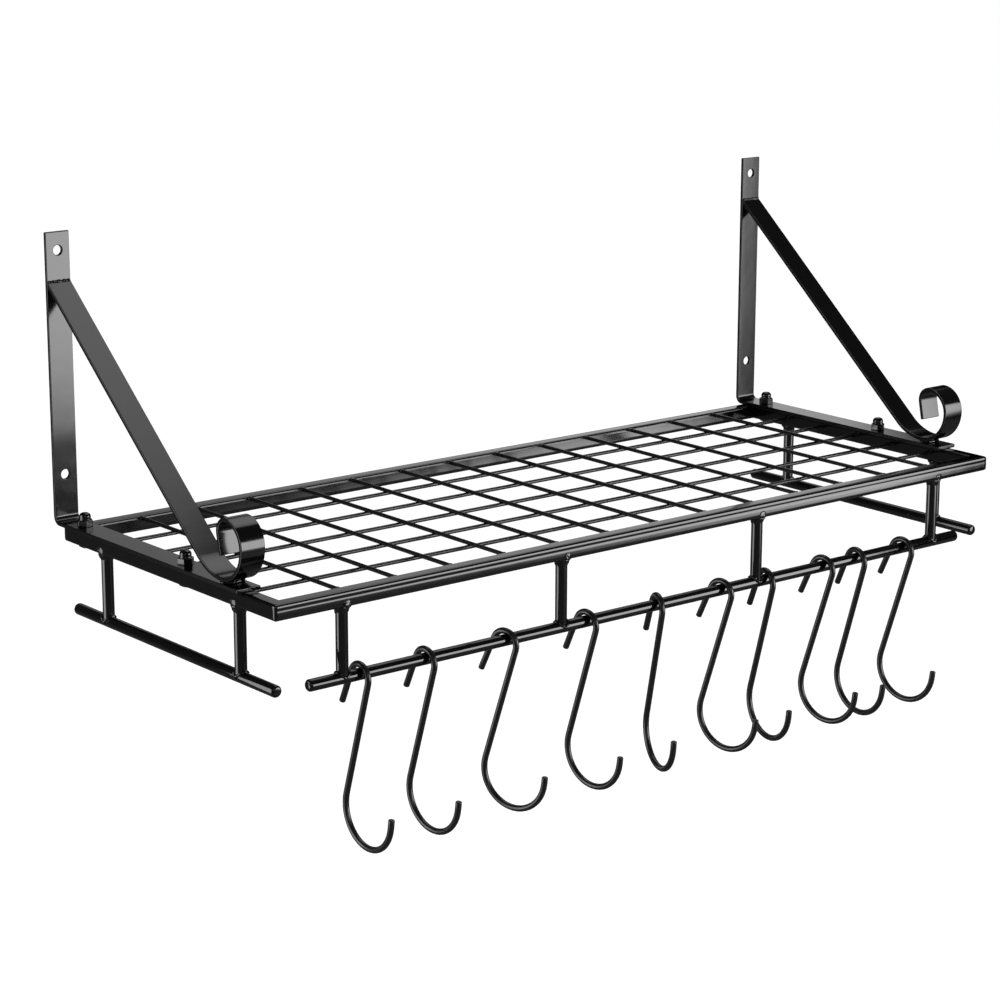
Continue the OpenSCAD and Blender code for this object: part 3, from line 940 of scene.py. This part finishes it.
def makeFloorPaint():
    # the camera sees it nearly white, mirrors see it dark, and it lights the rack as plain grey
    material, tree, paint = newMaterial("floorPaint")
    setInputs(paint, {"Roughness": 0.9, "Emission Color": grey(1)})
    rays = addNode(tree, "ShaderNodeLightPath")
    blend = addNode(tree, "ShaderNodeMix", data_type="RGBA")
    setInputs(blend, {"A": grey(floorLook["plain"]), "B": grey(floorLook["mirror"])})
    tree.links.new(rays.outputs["Is Glossy Ray"], blend.inputs["Factor"])
    tree.links.new(blend.outputs["Result"], paint.inputs["Base Color"])
    seen = mathNode(tree, "ADD", rays.outputs["Is Camera Ray"], rays.outputs["Is Transmission Ray"])
    glow = mathNode(tree, "MULTIPLY", seen, floorLook["seen"])
    tree.links.new(glow, paint.inputs["Emission Strength"])
    return material


def makeStage():
    bpy.ops.mesh.primitive_plane_add(size=floorLook["size"], location=floorLook["place"])
    floor = newPiece("studioFloor")
    floor.data.materials.append(makeFloorPaint())


def softBox(name, centre, aim, size, strength, fades=(), taper=1.0):
    # a fade: how much it runs across and up the card, where it is dark, where light, and its least light
    bpy.ops.mesh.primitive_plane_add(size=1)
    card = newPiece(name)
    if taper != 1.0:                     # the right-hand end is taller than the left
        for point in card.data.vertices:
            if point.co.x < 0:
                point.co.y *= taper
    face = (Vector(aim) - Vector(centre)).normalized()
    turn = face.to_track_quat("Z", "Y").to_matrix().to_4x4()
    card.matrix_world = Matrix.Translation(Vector(centre)) @ turn @ Matrix.Diagonal((*size, 1, 1))
    material = bpy.data.materials.new(name)
    material.use_nodes = True
    tree = material.node_tree
    tree.nodes.clear()
    output = addNode(tree, "ShaderNodeOutputMaterial")
    glow = addNode(tree, "ShaderNodeEmission")
    where = addNode(tree, "ShaderNodeTexCoord")
    split = addNode(tree, "ShaderNodeSeparateXYZ")
    tree.links.new(where.outputs["UV"], split.inputs["Vector"])
    level = strength
    for across, up, dark, light, least in fades:
        place = mathNode(tree, "ADD", mathNode(tree, "MULTIPLY", split.outputs["X"], across),
                         mathNode(tree, "MULTIPLY", split.outputs["Y"], up))
        fade = addNode(tree, "ShaderNodeMapRange", interpolation_type="SMOOTHSTEP")
        setInputs(fade, {"From Min": dark, "From Max": light, "To Min": least})
        tree.links.new(place, fade.inputs["Value"])
        level = mathNode(tree, "MULTIPLY", fade.outputs["Result"], level)
    if isinstance(level, float):
        glow.inputs["Strength"].default_value = level
    else:
        tree.links.new(level, glow.inputs["Strength"])
    tree.links.new(glow.outputs[0], output.inputs["Surface"])
    card.data.materials.append(material)
    card.visible_camera = False
    card.visible_shadow = False


softEdges = ((1, 0, 0.0, 0.25, 0.1), (1, 0, 1.0, 0.75, 0.1), (0, 1, 0.0, 0.3, 0.1), (0, 1, 1.0, 0.7, 0.1))
softBoxes = {
    "key": {"centre": (1.313, -1.939, -0.12), "aim": (-0.107, -0.239, -0.12), "size": (1.73, 1.3),
            "strength": 4.5, "taper": 1.2,
            "fades": ((1, 0.17, 0.17, 0.26, 0.0), (0, 1, 0.06, 0.24, 0.04))},
    "top": {"centre": (0.691, 0.476, 1.272), "aim": (0.271, 0.126, -0.228), "size": (1.3, 1.75),
            "strength": 1.25,
            "fades": ((1, 0, 0.0, 0.2, 0.0), (1, 0, 1.3, 0.7, 0.3), (0, 1, 0.0, 0.8, 0.4))},
    "left": {"centre": (-1.75, 0.45, -0.15), "aim": (-0.3, -0.28, -0.16), "size": (1.2, 1.5),
             "strength": 2.6},
    "back": {"centre": (1.55, 1.60, 0.62), "aim": (0.0, -0.15, 0.2), "size": (2.6, 0.8), "strength": 1.05,
             "fades": ((1, 0, 0.2, 0.56, 0.42), (1, 0, 0.73, 0.65, 0.0), (0, 1, 0.4, 0.1, 0.75))},
    "behind": {"centre": (-0.1, 2.15, -0.5), "aim": (-0.05, 0.0, -0.05), "size": (1.5, 0.8),
               "strength": 0.9, "fades": softEdges},
    "ahead": {"centre": (-0.95, -2.25, 0.62), "aim": (0.0, 0.0, -0.1), "size": (2.6, 0.7),
              "strength": 0.8, "fades": softEdges},
}
roomLight = {"plain": 0.4, "seen": 0.6, "mirror": -0.365}       # the last two are added for their rays


def makeStudio():
    for name, box in softBoxes.items():
        softBox("softBox_" + name, **box)
    world = bpy.data.worlds.new("studioRoom")
    bpy.context.scene.world = world
    world.use_nodes = True
    tree = world.node_tree
    background = next(node for node in tree.nodes if node.type == "BACKGROUND")
    setInputs(background, {"Color": grey(1)})
    rays = addNode(tree, "ShaderNodeLightPath")
    seen = mathNode(tree, "MULTIPLY", rays.outputs["Is Camera Ray"], roomLight["seen"])
    mirror = mathNode(tree, "MULTIPLY", rays.outputs["Is Glossy Ray"], roomLight["mirror"])
    soft = mathNode(tree, "ADD", mirror, roomLight["plain"])
    tree.links.new(mathNode(tree, "ADD", seen, soft), background.inputs["Strength"])


photoView = {"azimuth": 39.0, "elevation": 13.99, "roll": 0.11, "place": (-1.40618, -1.82186, 0.41270),
             "focal": 2834.9, "pixels": 1000, "sensor": 36.0, "near": 0.05, "far": 60}


def makeCamera():
    v = photoView
    azimuth, elevation, roll = (math.radians(v[key]) for key in ("azimuth", "elevation", "roll"))
    level = math.cos(elevation)
    forward = Vector((math.sin(azimuth) * level, math.cos(azimuth) * level, -math.sin(elevation)))
    right = Vector((math.cos(azimuth), -math.sin(azimuth), 0))
    up = right.cross(forward)
    side = math.cos(roll) * right + math.sin(roll) * up
    top = -math.sin(roll) * right + math.cos(roll) * up
    bpy.ops.object.camera_add()
    camera = bpy.context.active_object
    camera.name = "photoCamera"
    place = Matrix((side, top, -forward)).transposed().to_4x4()
    place.translation = Vector(v["place"])
    camera.matrix_world = place
    camera.data.sensor_width = v["sensor"]
    camera.data.lens = v["focal"] / v["pixels"] * v["sensor"]
    camera.data.clip_start = v["near"]
    camera.data.clip_end = v["far"]
    bpy.context.scene.camera = camera


clearSelection()
makeStage()
makeStudio()
makeCamera()
clearSelection()
bpy.context.scene.view_settings.view_transform = "Standard"
print("studio made")
